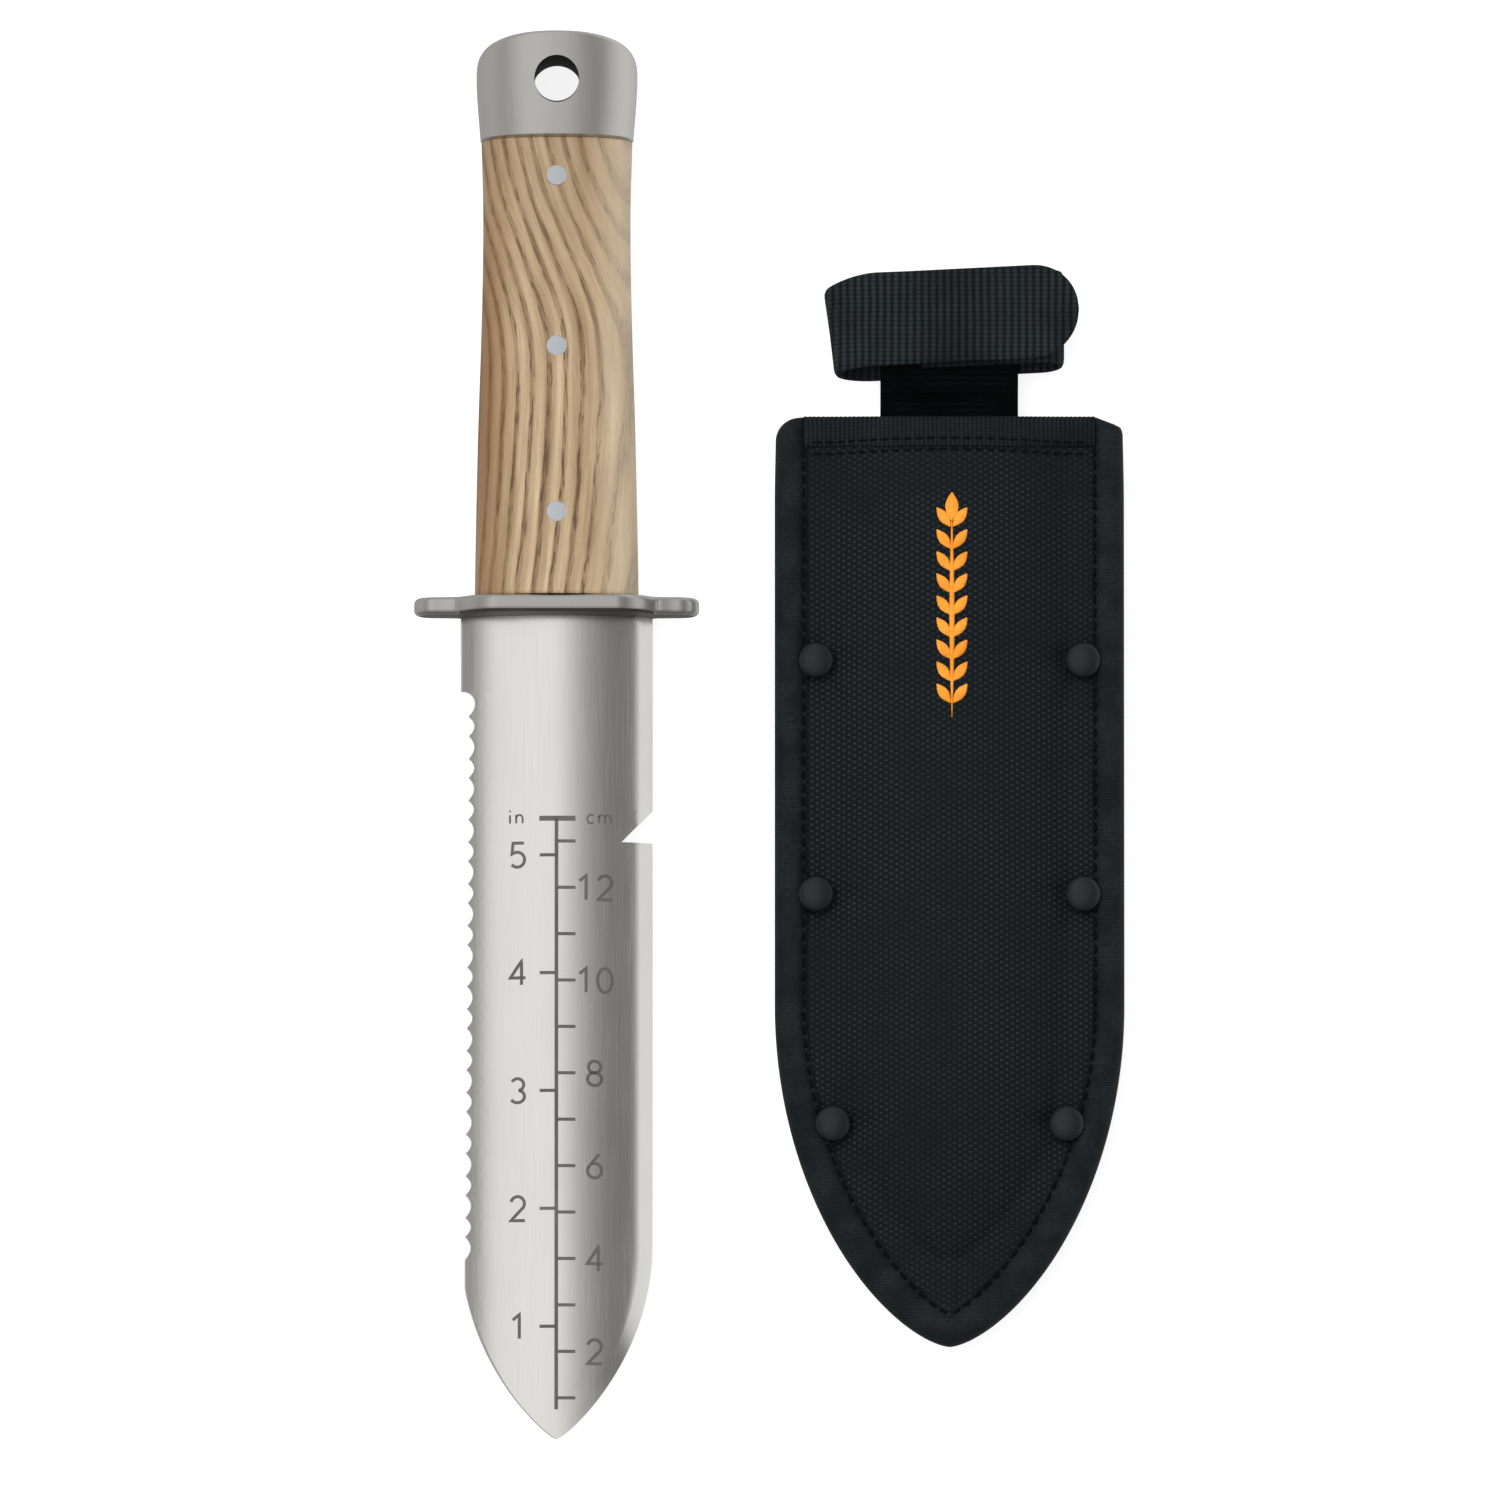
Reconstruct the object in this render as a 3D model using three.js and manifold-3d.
// Hori hori garden knife with its belt sheath, both lying flat, side by side.
// Millimetres, +Z up. The knife lies along Y with its tip toward -Y and its dished blade turned convex
// side up. The origin is the centre of the flat on the underside of the guard, which rests on the
// surface; the sheath lies beside it, toward +X, on its belt loop.
import * as THREE from "three";
import { mergeVertices } from "three/addons/utils/BufferGeometryUtils.js";
import Module from "manifold-3d";

const wasm = await Module();
wasm.setup();

// ---- Driving dimensions -------------------------------------------------------------------------

const GAP = 0.3; // clearance kept between pieces that touch
const LONG = 60; // longer than any piece is deep, for cutting right through

// Knife
const KNIFE_DEPTH = 21.5; // guard and pommel are equally deep, so the knife rests level
const TANG_Z = KNIFE_DEPTH / 2;
const TANG_THICKNESS = 2.5;
const TANG_LEAD = 3; // the tang runs this far past the guard, into the blade
const TANG_FLUSH = 0.99; // tang width as a part of the handle width, level with the scales
const DEPTH_TO_WIDTH = 0.605; // oval section of the handle

const BLADE_HALF_WIDTH = 20.6;
const BLADE_TIP_Y = -179.6;
const BLADE_THICKNESS = 2.5;
const BLADE_DISH_RADIUS = 44.5;
const BLADE_CREST_Z = TANG_Z + 3.0; // top of the convex side
const BLADE_POINT_START_Y = -137;
const BLADE_POINT_POWER = 0.83;

const TOOTH_START_Y = -17.7;
const TOOTH_START_STEP = [[0.9, 1], [0, 2.8]]; // rounds the saw's first bite: short of its depth, below
const TOOTH_FIRST_TIP_Y = -23.5;
const TOOTH_CHORDS = [4.1, 4.9]; // a short scallop, then a long one
const TOOTH_PAIRS = 13;
const TOOTH_TIP_INSET = 1.5; // how far the tooth tips lie inside the plain edge
const TOOTH_DEPTH = 1.2;

const NOTCH_TOP_Y = -43.6; // twine notch in the plain edge
const NOTCH_BOTTOM_Y = -50.7;
const NOTCH_DEPTH = 6.7;

const GUARD_THICKNESS = 3.8;
const GUARD_HALF_WIDTH = 30.6;
const GUARD_OVAL_HALF_WIDTH = 21.5;
const GUARD_FLAT_HALF_WIDTH = 11;
const GUARD_TAB_HALF_DEPTH = 4.5;

const HANDLE_START_Y = GUARD_THICKNESS / 2 + GAP;
const HANDLE_END_Y = 100.6;
// Half width of the handle and pommel, as [y, half width]
const HANDLE_PROFILE = [
  [HANDLE_START_Y, 17.7],
  [20, 17.4],
  [38, 17.0],
  [56, 16.4],
  [72, 16.0],
  [84, 15.9],
  [94, 16.1],
  [HANDLE_END_Y, 16.4],
];
const POMMEL_START_Y = HANDLE_END_Y + GAP;
const POMMEL_HALF_WIDTH = 17.3;
const POMMEL_TOP_Y = 123.7;
const POMMEL_PROFILE = [
  [POMMEL_START_Y, 16.5],
  [107, 16.9],
  [113, POMMEL_HALF_WIDTH],
  [POMMEL_TOP_Y, POMMEL_HALF_WIDTH],
];
// Right half of the arch that the pommel's end is cut to, as [x, y]
const POMMEL_ARCH = [
  [17.4, 114.6],
  [17.1, 117.4],
  [16.2, 119.8],
  [14.9, 121.5],
  [12.6, 122.8],
  [9.6, 123.7],
  [6, 124.2],
  [0, POMMEL_TOP_Y],
];
const POMMEL_DEPTH_TO_WIDTH = KNIFE_DEPTH / 2 / POMMEL_HALF_WIDTH;
const HANG_HOLE_Y = 113.2;
const HANG_HOLE_RADIUS = 4.85;
const STUB_HALF_WIDTH = 7; // narrow end of the tang, inside the pommel
const STUB_END_Y = 106.6;

const PIN_RADIUS = 2.25;
const PIN_PLACES_Y = [19.6, 55.5, 92.4];

// Sheath, in a group of its own, whose x = 0 is the middle of the sheath
const SHEATH_X = 84.3;
const SHEATH_HALF_WIDTH = 37.5;
const SHEATH_MOUTH_Y = 40;
const SHEATH_SHOULDER_Y = -86;
const SHEATH_TIP_Y = -159.5;
const SHEATH_POINT_POWER = 0.65;
const SHEATH_END_HALF_WIDTH = 1.6; // width left at the blunt end of each layer

const WEBBING = 1.4;
const FABRIC = 1.2;
const LINER = 0.8;
const TAPE = 0.7;
const BELT_GAP = 4.6;

// Heights of the layers, each a gap above the last
const LOOP_TOP_Z = WEBBING + BELT_GAP + WEBBING;
const BINDING_BOTTOM_Z = LOOP_TOP_Z + GAP;
const BACK_PANEL_Z = BINDING_BOTTOM_Z + TAPE + GAP;
const BACK_LINER_Z = BACK_PANEL_Z + FABRIC + GAP;
const FRONT_LINER_Z = BACK_LINER_Z + LINER + GAP;
const FRONT_PANEL_Z = FRONT_LINER_Z + LINER + GAP;
const BINDING_TOP_Z = FRONT_PANEL_Z + FABRIC + GAP + TAPE;

const ARCH_HEIGHT = 8.6; // the front stands this far off the back, to hold the dished blade
const ARCH_HALF_WIDTH = 24.5;
const ARCH_INSET = 12.5; // distance of the arch from the edge of the sheath, round the point
const POINT_INSET_RATIO = 1.5; // an inset is this much larger along Y at the point
const ARCH_END_Y = SHEATH_TIP_Y + ARCH_INSET * POINT_INSET_RATIO;
const MIN_ARCH_HALF_WIDTH = 2; // keeps the columns apart where the arch has run out
const MAX_ARCH_SHARE = 0.8; // widest the arch may be, as a share of the layer
const ARCH_ROWS = 8;
const POINT_ROWS = 5;
const POINT_ROW_POWER = 1.5; // draws the rows closer together toward the point

const PANEL_INSET = 1.5;
const LINER_INSET = 4.5;
const BINDING_WIDTH = 7;
const BINDING_SLOT_INSET = 1.2;
const CUT_PAST_TOP = 5; // how far the binding's cutters run past its top
const EDGE_BINDING_TOP_Y = 40.8;
const MOUTH_BINDING_Y = [34.4, 41.0];
const MOUTH_BINDING_INSET = BINDING_WIDTH + GAP; // it lies between the two arms of the edge binding

const BELT_LOOP_HALF_WIDTH = 14.8;
const BELT_LOOP_END_Y = -62;
const HANGER_TOP_Y = 72.9;
const HANGER_JOIN_Y = 48.2;
const LOOP_SLOPE_RUN = 11; // the rear layer leaves the hanger over this length
const LOOP_CORNER = 0.6; // shift of the inner corners that keeps the sloping layer's thickness
const HANGER_RISE_RUN = 2.5; // the front layer rises over the strap in this length
const HANGER_SINK = 0.05; // the ply behind the strap lies this much lower than the loop's front
const HANGER_SEAM = 0.3; // its opening starts this far past the join

const STRAP_WIDTH = 20;
const STRAP_BOTTOM_Y = 49.8;
const STRAP_Z = LOOP_TOP_Z + GAP;
const STRAP_INNER_GAP = 6.6;
const STRAP_HALF_WIDTH = 24.6;
const STRAP_LEAN = 0.16; // the loop leans toward +Y by this much for each unit of height
const STRAP_TILT = 0.05; // and by this much for each unit toward its round end
const UNDER_LAYER_END_X = -6;
const PATCH_THICKNESS = 0.6;
const PATCH_SIZE = [24, 15];
const PATCH_MIDDLE_X = 7.5;
const UNDER_LAYER_Z = STRAP_Z + WEBBING + STRAP_INNER_GAP;
const HOOK_PATCH_Z = UNDER_LAYER_Z + WEBBING + GAP;
const LOOP_PATCH_Z = HOOK_PATCH_Z + PATCH_THICKNESS + GAP;
const FLAP_Z = LOOP_PATCH_Z + PATCH_THICKNESS + GAP;
const FLAP_START_X = -17.6;
const FLAP_END_X = 27.8;

const RIVET_RADIUS = 4;
const RIVET_DOME = 2;
const RIVET_RIM = 0.4; // upright edge of the cap, below its dome
const RIVET_SHANK_RADIUS = 1.5;
const RIVET_BACK_THICKNESS = 1.2;
const RIVET_PLACES = [
  [28.6, -11.8],
  [28.6, -62.3],
  [25, -111.8],
];

// ---- Materials ----------------------------------------------------------------------------------

const COLOURS = {
  steel: { color: 0xb4b3b0, roughness: 0.34, metalness: 1.0 },
  wood: { color: 0xbd9f78, roughness: 0.6, metalness: 0.0 },
  fabric: { color: 0x1e2224, roughness: 0.85, metalness: 0.0 },
  webbing: { color: 0x15191b, roughness: 0.8, metalness: 0.0 },
  plastic: { color: 0x17191a, roughness: 0.5, metalness: 0.0 },
  rivet: { color: 0x1b1c1e, roughness: 0.4, metalness: 0.0 },
};

function mesh(name, geometry, look) {
  const material = new THREE.MeshStandardMaterial(COLOURS[look]);
  const part = new THREE.Mesh(geometry, material);
  part.name = name;
  return part;
}

// ---- Solids -------------------------------------------------------------------------------------

function solid(geometry) {
  geometry.deleteAttribute("normal");
  geometry.deleteAttribute("uv");
  const merged = mergeVertices(geometry, 1e-4);
  const vertProperties = new Float32Array(merged.attributes.position.array);
  const triVerts = new Uint32Array(merged.index.array);
  return new wasm.Manifold(new wasm.Mesh({ numProp: 3, vertProperties, triVerts }));
}

function geometryOf(body) {
  const result = body.getMesh();
  const geometry = new THREE.BufferGeometry();
  geometry.setAttribute("position", new THREE.BufferAttribute(result.vertProperties, 3));
  geometry.setIndex(new THREE.BufferAttribute(result.triVerts, 1));
  geometry.computeVertexNormals();
  return geometry;
}

function box(x, y, z) {
  const geometry = new THREE.BoxGeometry(x[1] - x[0], y[1] - y[0], z[1] - z[0]);
  geometry.translate((x[0] + x[1]) / 2, (y[0] + y[1]) / 2, (z[0] + z[1]) / 2);
  return solid(geometry);
}

// Outline in XY, extruded upward from z0
function plate(shape, z0, thickness, curveSegments = 12) {
  const geometry = new THREE.ExtrudeGeometry(shape, {
    depth: thickness,
    bevelEnabled: false,
    curveSegments,
  });
  geometry.translate(0, 0, z0);
  return solid(geometry);
}

// Outline in XZ, extruded along Y from y0 to y1
function sweepY(shape, y0, y1, curveSegments = 12) {
  const geometry = new THREE.ExtrudeGeometry(shape, {
    depth: y1 - y0,
    bevelEnabled: false,
    curveSegments,
  });
  geometry.rotateX(Math.PI / 2);
  geometry.translate(0, y1, 0);
  return solid(geometry);
}

// Outline in YZ, extruded along X, centred on x = 0
function sweepX(shape, width) {
  const geometry = new THREE.ExtrudeGeometry(shape, { depth: width, bevelEnabled: false });
  const toYZ = new THREE.Matrix4().makeBasis(
    new THREE.Vector3(0, 1, 0),
    new THREE.Vector3(0, 0, 1),
    new THREE.Vector3(1, 0, 0),
  );
  geometry.applyMatrix4(toYZ);
  geometry.translate(-width / 2, 0, 0);
  return solid(geometry);
}

function cylinderZ(radius, x, y, z0, z1, segments = 20) {
  const geometry = new THREE.CylinderGeometry(radius, radius, z1 - z0, segments);
  geometry.rotateX(Math.PI / 2);
  geometry.translate(x, y, (z0 + z1) / 2);
  return solid(geometry);
}

// Oval body turned about the knife's long axis, from [y, half width] stations
function ovalBody(profile, depthToWidth) {
  const points = profile.map(([y, halfWidth]) => new THREE.Vector2(halfWidth, y));
  const first = new THREE.Vector2(0, profile[0][0]);
  const last = new THREE.Vector2(0, profile[profile.length - 1][0]);
  const outline = [first, ...points];
  if (points[points.length - 1].x > 0) {
    outline.push(last);
  }
  const geometry = new THREE.LatheGeometry(outline, 40);
  geometry.scale(1, 1, depthToWidth);
  geometry.translate(0, 0, TANG_Z);
  return solid(geometry);
}

function polygon(points) {
  return new THREE.Shape(points.map(([x, y]) => new THREE.Vector2(x, y)));
}

// ---- Knife --------------------------------------------------------------------------------------

function bladeHalfWidth(y) {
  if (y > BLADE_POINT_START_Y) {
    return BLADE_HALF_WIDTH;
  }
  const t = (BLADE_POINT_START_Y - y) / (BLADE_POINT_START_Y - BLADE_TIP_Y);
  return BLADE_HALF_WIDTH * Math.pow(Math.max(0, 1 - t * t), BLADE_POINT_POWER);
}

// One scallop of the saw edge, bitten into the steel between two tooth tips
function addScallop(points, x, y0, y1) {
  const steps = 4;
  for (let i = 1; i <= steps; i += 1) {
    const t = i / steps;
    const bite = TOOTH_DEPTH * Math.sin(Math.PI * t);
    points.push([x + bite, y0 + (y1 - y0) * t]);
  }
}

function bladeOutline() {
  const heelY = -GUARD_THICKNESS / 2 - GAP;
  const tipX = -BLADE_HALF_WIDTH + TOOTH_TIP_INSET;
  const rootX = tipX + TOOTH_DEPTH;
  const points = [
    [-BLADE_HALF_WIDTH, heelY],
    [-BLADE_HALF_WIDTH, TOOTH_START_Y],
    ...TOOTH_START_STEP.map(([short, below]) => [rootX - short, TOOTH_START_Y - below]),
    [tipX, TOOTH_FIRST_TIP_Y],
  ];
  let y = TOOTH_FIRST_TIP_Y;
  for (let pair = 0; pair < TOOTH_PAIRS; pair += 1) {
    for (const chord of TOOTH_CHORDS) {
      addScallop(points, tipX, y, y - chord);
      y -= chord;
    }
  }
  const stations = 12;
  for (let i = 1; i < stations; i += 1) {
    const along = y + (BLADE_TIP_Y - y) * (i / stations);
    points.push([Math.max(tipX, -bladeHalfWidth(along)), along]);
  }
  points.push([0, BLADE_TIP_Y]);
  for (let i = stations - 1; i >= 0; i -= 1) {
    const along = y + (BLADE_TIP_Y - y) * (i / stations);
    points.push([bladeHalfWidth(along), along]);
  }
  points.push([BLADE_HALF_WIDTH, NOTCH_BOTTOM_Y]);
  points.push([BLADE_HALF_WIDTH - NOTCH_DEPTH, NOTCH_BOTTOM_Y]);
  points.push([BLADE_HALF_WIDTH, NOTCH_TOP_Y]);
  points.push([BLADE_HALF_WIDTH, heelY]);
  return polygon(points);
}

// Section of the dished sheet, in XZ, convex side up
function dishSection() {
  const centreZ = BLADE_CREST_Z - BLADE_DISH_RADIUS;
  const spread = Math.asin((BLADE_HALF_WIDTH + 1) / BLADE_DISH_RADIUS);
  const section = new THREE.Shape();
  const up = Math.PI / 2;
  section.absarc(0, centreZ, BLADE_DISH_RADIUS, up + spread, up - spread, true);
  section.absarc(0, centreZ, BLADE_DISH_RADIUS - BLADE_THICKNESS, up - spread, up + spread, false);
  return section;
}

function tangOutline() {
  const right = HANDLE_PROFILE.map(([y, halfWidth]) => [halfWidth * TANG_FLUSH, y]);
  right[0][1] = -GUARD_THICKNESS / 2 - TANG_LEAD;
  const left = right.map(([x, y]) => [-x, y]).reverse();
  const stub = [
    [STUB_HALF_WIDTH, HANDLE_END_Y],
    [STUB_HALF_WIDTH, STUB_END_Y],
    [-STUB_HALF_WIDTH, STUB_END_Y],
    [-STUB_HALF_WIDTH, HANDLE_END_Y],
  ];
  return polygon([...right, ...stub, ...left]);
}

function pinHoles(y) {
  return cylinderZ(PIN_RADIUS + GAP, 0, y, -1, KNIFE_DEPTH + 1, 16);
}

function makeBlade() {
  const heelY = -GUARD_THICKNESS / 2 - GAP;
  const sheet = sweepY(dishSection(), BLADE_TIP_Y - 1, heelY + 1, 16);
  const dished = plate(bladeOutline(), -LONG / 2, LONG).intersect(sheet);
  const tang = plate(tangOutline(), TANG_Z - TANG_THICKNESS / 2, TANG_THICKNESS);
  let blade = dished.add(tang);
  for (const y of PIN_PLACES_Y) {
    blade = blade.subtract(pinHoles(y));
  }
  return mesh("blade", geometryOf(blade), "steel");
}

// Guard: a deep oval over the blade, with a narrow tab at each end and a slot for the tang
function makeGuard() {
  const half = KNIFE_DEPTH / 2;
  const shape = new THREE.Shape();
  shape.moveTo(-GUARD_FLAT_HALF_WIDTH, -half);
  shape.lineTo(GUARD_FLAT_HALF_WIDTH, -half);
  shape.quadraticCurveTo(GUARD_OVAL_HALF_WIDTH - 2, -half, GUARD_OVAL_HALF_WIDTH, -GUARD_TAB_HALF_DEPTH);
  shape.lineTo(GUARD_HALF_WIDTH - GUARD_TAB_HALF_DEPTH, -GUARD_TAB_HALF_DEPTH);
  shape.absarc(
    GUARD_HALF_WIDTH - GUARD_TAB_HALF_DEPTH, 0, GUARD_TAB_HALF_DEPTH, -Math.PI / 2, Math.PI / 2, false,
  );
  shape.lineTo(GUARD_OVAL_HALF_WIDTH, GUARD_TAB_HALF_DEPTH);
  shape.quadraticCurveTo(GUARD_OVAL_HALF_WIDTH - 2, half, GUARD_FLAT_HALF_WIDTH, half);
  shape.lineTo(-GUARD_FLAT_HALF_WIDTH, half);
  shape.quadraticCurveTo(-GUARD_OVAL_HALF_WIDTH + 2, half, -GUARD_OVAL_HALF_WIDTH, GUARD_TAB_HALF_DEPTH);
  shape.lineTo(-GUARD_HALF_WIDTH + GUARD_TAB_HALF_DEPTH, GUARD_TAB_HALF_DEPTH);
  shape.absarc(
    -GUARD_HALF_WIDTH + GUARD_TAB_HALF_DEPTH, 0, GUARD_TAB_HALF_DEPTH, Math.PI / 2, Math.PI * 1.5, false,
  );
  shape.lineTo(-GUARD_OVAL_HALF_WIDTH, -GUARD_TAB_HALF_DEPTH);
  shape.quadraticCurveTo(-GUARD_OVAL_HALF_WIDTH + 2, -half, -GUARD_FLAT_HALF_WIDTH, -half);
  const slotHalfWidth = HANDLE_PROFILE[0][1] * TANG_FLUSH + GAP;
  const slotHalfDepth = TANG_THICKNESS / 2 + GAP;
  const slot = box(
    [-slotHalfWidth, slotHalfWidth],
    [-GUARD_THICKNESS, GUARD_THICKNESS],
    [TANG_Z - slotHalfDepth, TANG_Z + slotHalfDepth],
  );
  const body = sweepY(shape, -GUARD_THICKNESS / 2, GUARD_THICKNESS / 2, 8);
  return mesh("guard", geometryOf(body.translate([0, 0, TANG_Z]).subtract(slot)), "steel");
}

// The wooden handle is one oval body, split by the tang into two scales
function makeScale(name, z) {
  let scale = ovalBody(HANDLE_PROFILE, DEPTH_TO_WIDTH);
  scale = scale.intersect(box([-LONG, LONG], [0, HANDLE_END_Y + 1], z));
  for (const y of PIN_PLACES_Y) {
    scale = scale.subtract(pinHoles(y));
  }
  return mesh(name, geometryOf(scale), "wood");
}

function halfWidthAt(profile, y) {
  const after = profile.findIndex((station) => station[0] >= y);
  const [y0, w0] = profile[after - 1];
  const [y1, w1] = profile[after];
  return w0 + ((w1 - w0) * (y - y0)) / (y1 - y0);
}

// Through pins, cut to the curve of the wood
function makePin(index) {
  const y = PIN_PLACES_Y[index];
  const length = halfWidthAt(HANDLE_PROFILE, y) * DEPTH_TO_WIDTH;
  const geometry = new THREE.CylinderGeometry(PIN_RADIUS, PIN_RADIUS, 2 * length, 16);
  geometry.rotateX(Math.PI / 2);
  const pin = mesh(`handle_pin_${index + 1}`, geometry, "steel");
  pin.position.set(0, y, TANG_Z);
  return pin;
}

function makePommel() {
  const half = TANG_THICKNESS / 2 + GAP;
  const side = STUB_HALF_WIDTH + GAP;
  const slot = box([-side, side], [HANDLE_END_Y - 1, STUB_END_Y + GAP], [TANG_Z - half, TANG_Z + half]);
  const hole = cylinderZ(HANG_HOLE_RADIUS, 0, HANG_HOLE_Y, -1, KNIFE_DEPTH + 1, 28);
  const right = [[POMMEL_HALF_WIDTH + 1, POMMEL_START_Y - 1], ...POMMEL_ARCH];
  const left = right.slice(0, -1).reverse().map(([x, y]) => [-x, y]);
  const arched = plate(polygon([...right, ...left]), -LONG / 2, LONG);
  const body = ovalBody(POMMEL_PROFILE, POMMEL_DEPTH_TO_WIDTH).intersect(arched);
  return mesh("pommel", geometryOf(body.subtract(slot).subtract(hole)), "steel");
}

// ---- Sheath -------------------------------------------------------------------------------------

function sheathHalfWidth(y, inset) {
  const full = SHEATH_HALF_WIDTH - inset;
  if (y > SHEATH_SHOULDER_Y) {
    return full;
  }
  const t = (SHEATH_SHOULDER_Y - y) / (SHEATH_SHOULDER_Y - sheathEnd(inset));
  return full * Math.pow(Math.max(0, 1 - t * t), SHEATH_POINT_POWER);
}

function sheathEnd(inset) {
  return SHEATH_TIP_Y + inset * POINT_INSET_RATIO;
}

// The front layers stand above the flat ones in an arch that runs out toward the point
function archHalfWidth(y) {
  return Math.min(ARCH_HALF_WIDTH, sheathHalfWidth(y, ARCH_INSET));
}

function archLift(x, y) {
  const half = archHalfWidth(y);
  if (Math.abs(x) >= half) {
    return 0;
  }
  const height = (ARCH_HEIGHT * half) / ARCH_HALF_WIDTH;
  return height * (1 - (x / half) ** 2);
}

// Columns share the arch evenly between them, all but the outermost on each side, so that stacked
// layers bend at the same places
function layerX(across, y, inset, columns) {
  const halfWidth = Math.max(SHEATH_END_HALF_WIDTH, sheathHalfWidth(y, inset));
  const arch = Math.max(MIN_ARCH_HALF_WIDTH, archHalfWidth(y));
  const bend = Math.min(arch, MAX_ARCH_SHARE * halfWidth);
  const share = columns > 2 ? 1 - 2 / columns : 0;
  if (Math.abs(across) <= share) {
    return (across / share) * bend;
  }
  const beyond = (Math.abs(across) - share) / (1 - share);
  return Math.sign(across) * (bend * Math.sign(share) + (halfWidth - bend * Math.sign(share)) * beyond);
}

// Rows: one down to the shoulder, then even ones to the end of the arch, then closer ones to the point
function layerY(row, top, end) {
  if (row < 1) {
    return top;
  }
  if (row <= 1 + ARCH_ROWS) {
    return SHEATH_SHOULDER_Y + (ARCH_END_Y - SHEATH_SHOULDER_Y) * ((row - 1) / ARCH_ROWS);
  }
  const left = (1 + ARCH_ROWS + POINT_ROWS - row) / POINT_ROWS;
  return end + (ARCH_END_Y - end) * Math.pow(left, POINT_ROW_POWER);
}

// A layer of the sheath: a slab with the sheath's outline less an inset, from z0 up, bent to the arch.
// With a bottom given it is only a band across the sheath, from the bottom to the top.
function layer({ inset, top, bottom, z0, thickness, arched, columns = 14 }) {
  const rows = bottom === undefined ? 1 + ARCH_ROWS + POINT_ROWS : 1;
  const geometry = new THREE.BoxGeometry(2, rows, 1, columns, rows, 1);
  const position = geometry.attributes.position;
  for (let i = 0; i < position.count; i += 1) {
    const row = Math.round(rows / 2 - position.getY(i));
    const y = row > 0 && bottom !== undefined ? bottom : layerY(row, top, sheathEnd(inset));
    const x = layerX(position.getX(i), y, inset, columns);
    const lift = arched ? archLift(x, y) : 0;
    position.setXYZ(i, x, y, z0 + lift + (position.getZ(i) + 0.5) * thickness);
  }
  return solid(geometry);
}

function rivetPlaces() {
  return RIVET_PLACES.flatMap(([x, y]) => [[-x, y], [x, y]]);
}

function drillRivetHoles(body) {
  let drilled = body;
  for (const [x, y] of rivetPlaces()) {
    drilled = drilled.subtract(cylinderZ(RIVET_SHANK_RADIUS + GAP, x, y, 0, LONG / 2, 10));
  }
  return drilled;
}

function makeSheathLayer(name, look, options) {
  return mesh(name, geometryOf(drillRivetHoles(layer(options))), look);
}

// Tape folded round the edge of the four layers, down one side, round the point and up the other
function makeEdgeBinding() {
  const top = EDGE_BINDING_TOP_Y;
  const height = BINDING_TOP_Z - BINDING_BOTTOM_Z;
  const outer = layer({ inset: 0, top, z0: BINDING_BOTTOM_Z, thickness: height, columns: 1 });
  const core = layer({
    inset: BINDING_WIDTH, top: top + CUT_PAST_TOP, z0: 0, thickness: LONG / 2, columns: 1,
  });
  const slot = layer({
    inset: BINDING_SLOT_INSET,
    top: top + CUT_PAST_TOP,
    z0: BINDING_BOTTOM_Z + TAPE,
    thickness: height - 2 * TAPE,
    columns: 1,
  });
  return mesh("edge_binding", geometryOf(drillRivetHoles(outer.subtract(core).subtract(slot))), "fabric");
}

// Ribbed tape folded over the top edge of one panel
function makeMouthBinding(name, panelZ, arched) {
  const [bottom, top] = MOUTH_BINDING_Y;
  const tape = layer({
    inset: MOUTH_BINDING_INSET,
    top,
    bottom,
    z0: panelZ - GAP - TAPE,
    thickness: FABRIC + 2 * GAP + 2 * TAPE,
    arched,
  });
  const fold = layer({
    inset: MOUTH_BINDING_INSET - 1,
    top: SHEATH_MOUTH_Y + GAP,
    bottom: bottom - 1,
    z0: panelZ - GAP,
    thickness: FABRIC + 2 * GAP,
    arched,
  });
  return mesh(name, geometryOf(tape.subtract(fold)), "webbing");
}

function pathOf(points) {
  return new THREE.Path(points.map(([y, z]) => new THREE.Vector2(y, z)));
}

// Hanger and belt loop in one length of webbing: open behind the sheath for the belt, joined just
// above the mouth, and open again round the back layer of the retention strap
function makeBeltLoop() {
  const slopeEndY = HANGER_JOIN_Y - LOOP_SLOPE_RUN;
  const riseStartY = HANGER_JOIN_Y - HANGER_RISE_RUN;
  const rearTopZ = LOOP_TOP_Z - HANGER_SINK;
  const frontZ = STRAP_Z + WEBBING + GAP;
  const shape = polygon([
    [BELT_LOOP_END_Y, 0],
    [slopeEndY, 0],
    [HANGER_JOIN_Y, rearTopZ - WEBBING],
    [HANGER_TOP_Y, rearTopZ - WEBBING],
    [HANGER_TOP_Y, frontZ + WEBBING],
    [HANGER_JOIN_Y, frontZ + WEBBING],
    [riseStartY, LOOP_TOP_Z],
    [BELT_LOOP_END_Y, LOOP_TOP_Z],
  ]);
  shape.holes.push(pathOf([
    [BELT_LOOP_END_Y + WEBBING, WEBBING],
    [BELT_LOOP_END_Y + WEBBING, LOOP_TOP_Z - WEBBING],
    [riseStartY - LOOP_CORNER, LOOP_TOP_Z - WEBBING],
    [slopeEndY - LOOP_CORNER, WEBBING],
  ]));
  shape.holes.push(pathOf([
    [HANGER_JOIN_Y + HANGER_SEAM, rearTopZ],
    [HANGER_JOIN_Y + HANGER_SEAM, frontZ],
    [HANGER_TOP_Y - WEBBING, frontZ],
    [HANGER_TOP_Y - WEBBING, rearTopZ],
  ]));
  return mesh("belt_loop", geometryOf(sweepX(shape, 2 * BELT_LOOP_HALF_WIDTH)), "webbing");
}

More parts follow.
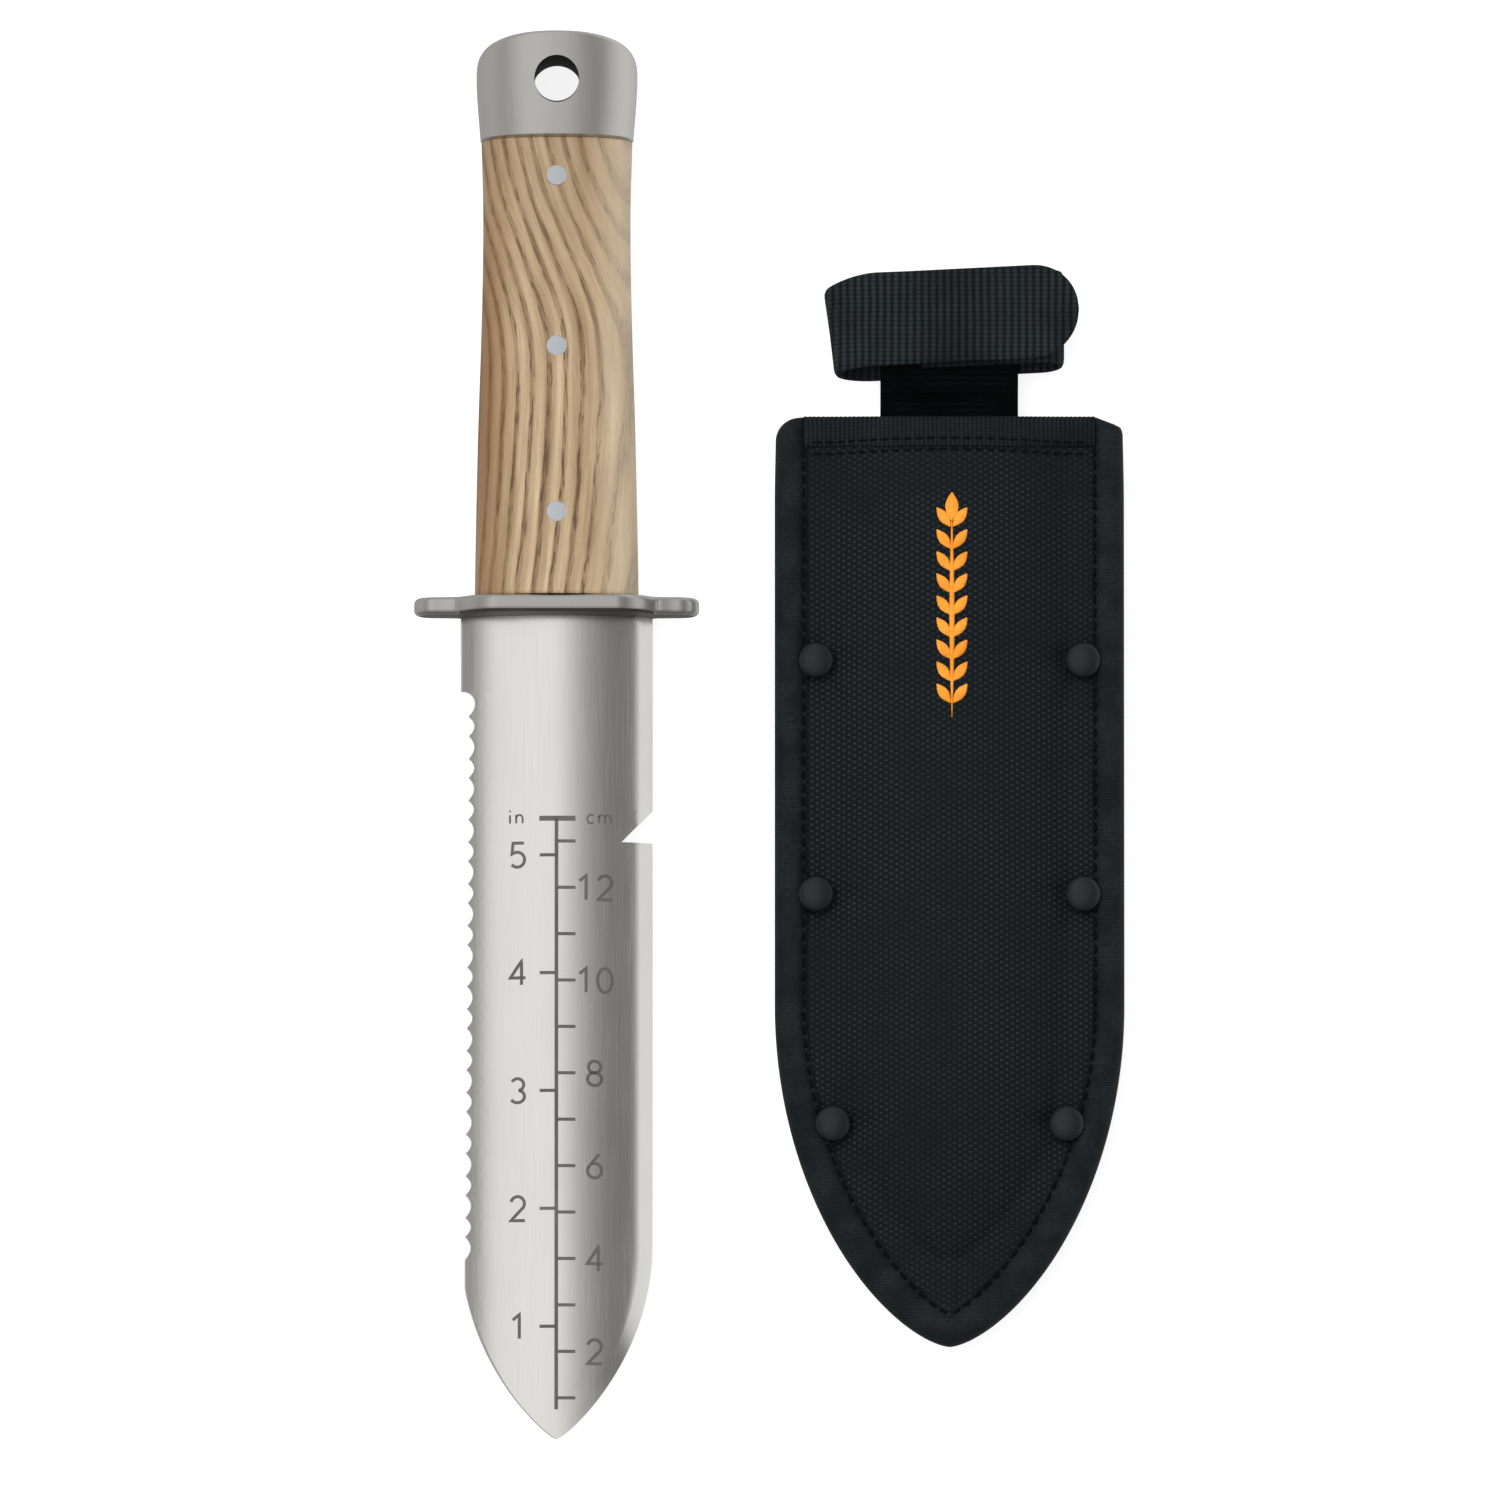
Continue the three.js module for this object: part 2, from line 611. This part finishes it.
function lean(geometry) {
  const position = geometry.attributes.position;
  for (let i = 0; i < position.count; i += 1) {
    const shift = STRAP_LEAN * (position.getZ(i) - STRAP_Z) + STRAP_TILT * position.getX(i);
    position.setY(i, position.getY(i) + shift);
  }
  return geometry;
}

// Retention strap: back layer sewn to the hanger, turned up and inward at the right as the under layer,
// and turned up at the left to where the flap starts
function makeRetentionStrap() {
  const outerLeft = (FLAP_Z + WEBBING - STRAP_Z) / 2;
  const outerRight = (UNDER_LAYER_Z + WEBBING - STRAP_Z) / 2;
  const leftX = -STRAP_HALF_WIDTH + outerLeft;
  const rightX = STRAP_HALF_WIDTH - outerRight;
  const leftEnd = FLAP_START_X - GAP;
  const half = Math.PI / 2;
  const shape = new THREE.Shape();
  shape.moveTo(leftX, STRAP_Z);
  shape.lineTo(rightX, STRAP_Z);
  shape.absarc(rightX, STRAP_Z + outerRight, outerRight, -half, half, false);
  shape.lineTo(UNDER_LAYER_END_X, UNDER_LAYER_Z + WEBBING);
  shape.lineTo(UNDER_LAYER_END_X, UNDER_LAYER_Z);
  shape.lineTo(rightX, UNDER_LAYER_Z);
  shape.absarc(rightX, STRAP_Z + outerRight, outerRight - WEBBING, half, -half, true);
  shape.lineTo(leftX, STRAP_Z + WEBBING);
  shape.absarc(leftX, STRAP_Z + outerLeft, outerLeft - WEBBING, -half, -3 * half, true);
  shape.lineTo(leftEnd, FLAP_Z);
  shape.lineTo(leftEnd, FLAP_Z + WEBBING);
  shape.lineTo(leftX, FLAP_Z + WEBBING);
  shape.absarc(leftX, STRAP_Z + outerLeft, outerLeft, half, 3 * half, false);
  const body = sweepY(shape, STRAP_BOTTOM_Y, STRAP_BOTTOM_Y + STRAP_WIDTH, 7);
  return mesh("retention_strap", lean(geometryOf(body)), "webbing");
}

// Outer end of the strap: lifts off the under layer about the fold at its left end
function makeStrapFlap() {
  const round = STRAP_WIDTH / 2;
  const middleY = STRAP_BOTTOM_Y + round;
  const shape = new THREE.Shape();
  shape.moveTo(FLAP_START_X, middleY - round);
  shape.lineTo(FLAP_END_X - round, middleY - round);
  shape.absarc(FLAP_END_X - round, middleY, round, -Math.PI / 2, Math.PI / 2, false);
  shape.lineTo(FLAP_START_X, middleY + round);
  const body = plate(shape, FLAP_Z, WEBBING, 10);
  return mesh("strap_flap", lean(geometryOf(body)), "webbing");
}

function makePatch(name, z) {
  const [length, width] = PATCH_SIZE;
  const middleY = STRAP_BOTTOM_Y + STRAP_WIDTH / 2;
  const body = box(
    [PATCH_MIDDLE_X - length / 2, PATCH_MIDDLE_X + length / 2],
    [middleY - width / 2, middleY + width / 2],
    [z, z + PATCH_THICKNESS],
  );
  return mesh(name, lean(geometryOf(body)), "fabric");
}

// Domed cap and its shank, which ends just above the washer on the back
function makeRivetCap(index, x, y) {
  const capZ = BINDING_TOP_Z + GAP;
  const shankLength = capZ - BINDING_BOTTOM_Z;
  const profile = [
    new THREE.Vector2(0, -shankLength),
    new THREE.Vector2(RIVET_SHANK_RADIUS, -shankLength),
    new THREE.Vector2(RIVET_SHANK_RADIUS, 0),
    new THREE.Vector2(RIVET_RADIUS, 0),
  ];
  const steps = 4;
  for (let i = 0; i <= steps; i += 1) {
    const angle = (i / steps) * (Math.PI / 2);
    const radius = i === steps ? 0 : RIVET_RADIUS * Math.cos(angle);
    profile.push(new THREE.Vector2(radius, RIVET_RIM + (RIVET_DOME - RIVET_RIM) * Math.sin(angle)));
  }
  const geometry = new THREE.LatheGeometry(profile, 14);
  geometry.rotateX(Math.PI / 2);
  const cap = mesh(`rivet_cap_${index}`, geometry, "rivet");
  cap.position.set(x, y, capZ);
  return cap;
}

function makeRivetBack(index, x, y) {
  const geometry = new THREE.CylinderGeometry(RIVET_RADIUS, RIVET_RADIUS, RIVET_BACK_THICKNESS, 14);
  geometry.rotateX(Math.PI / 2);
  const back = mesh(`rivet_back_${index}`, geometry, "rivet");
  back.position.set(x, y, BINDING_BOTTOM_Z - GAP - RIVET_BACK_THICKNESS / 2);
  return back;
}

// ---- Assembly -----------------------------------------------------------------------------------

function makeKnife() {
  const knife = new THREE.Group();
  const half = TANG_THICKNESS / 2 + GAP;
  knife.add(makeBlade());
  knife.add(makeGuard());
  knife.add(makeScale("scale_front", [TANG_Z + half, KNIFE_DEPTH + 1]));
  knife.add(makeScale("scale_rear", [-1, TANG_Z - half]));
  PIN_PLACES_Y.forEach((_, index) => knife.add(makePin(index)));
  knife.add(makePommel());
  return knife;
}

function makeSheath() {
  const sheath = new THREE.Group();
  const linerTop = MOUTH_BINDING_Y[0] - GAP;
  sheath.add(makeSheathLayer("back_panel", "fabric", {
    inset: PANEL_INSET, top: SHEATH_MOUTH_Y, z0: BACK_PANEL_Z, thickness: FABRIC, columns: 1,
  }));
  sheath.add(makeSheathLayer("liner_back", "plastic", {
    inset: LINER_INSET, top: linerTop, z0: BACK_LINER_Z, thickness: LINER, columns: 1,
  }));
  sheath.add(makeSheathLayer("liner_front", "plastic", {
    inset: LINER_INSET, top: linerTop, z0: FRONT_LINER_Z, thickness: LINER, arched: true,
  }));
  sheath.add(makeSheathLayer("front_panel", "fabric", {
    inset: PANEL_INSET, top: SHEATH_MOUTH_Y, z0: FRONT_PANEL_Z, thickness: FABRIC, arched: true,
  }));
  sheath.add(makeEdgeBinding());
  sheath.add(makeMouthBinding("mouth_binding_front", FRONT_PANEL_Z, true));
  sheath.add(makeMouthBinding("mouth_binding_back", BACK_PANEL_Z, false));
  sheath.add(makeBeltLoop());
  sheath.add(makeRetentionStrap());
  sheath.add(makeStrapFlap());
  sheath.add(makePatch("hook_patch", HOOK_PATCH_Z));
  sheath.add(makePatch("loop_patch", LOOP_PATCH_Z));
  rivetPlaces().forEach(([x, y], index) => {
    sheath.add(makeRivetCap(index + 1, x, y));
    sheath.add(makeRivetBack(index + 1, x, y));
  });
  sheath.position.set(SHEATH_X, 0, 0);
  return sheath;
}

const group = new THREE.Group();
group.add(makeKnife());
group.add(makeSheath());

export default group;
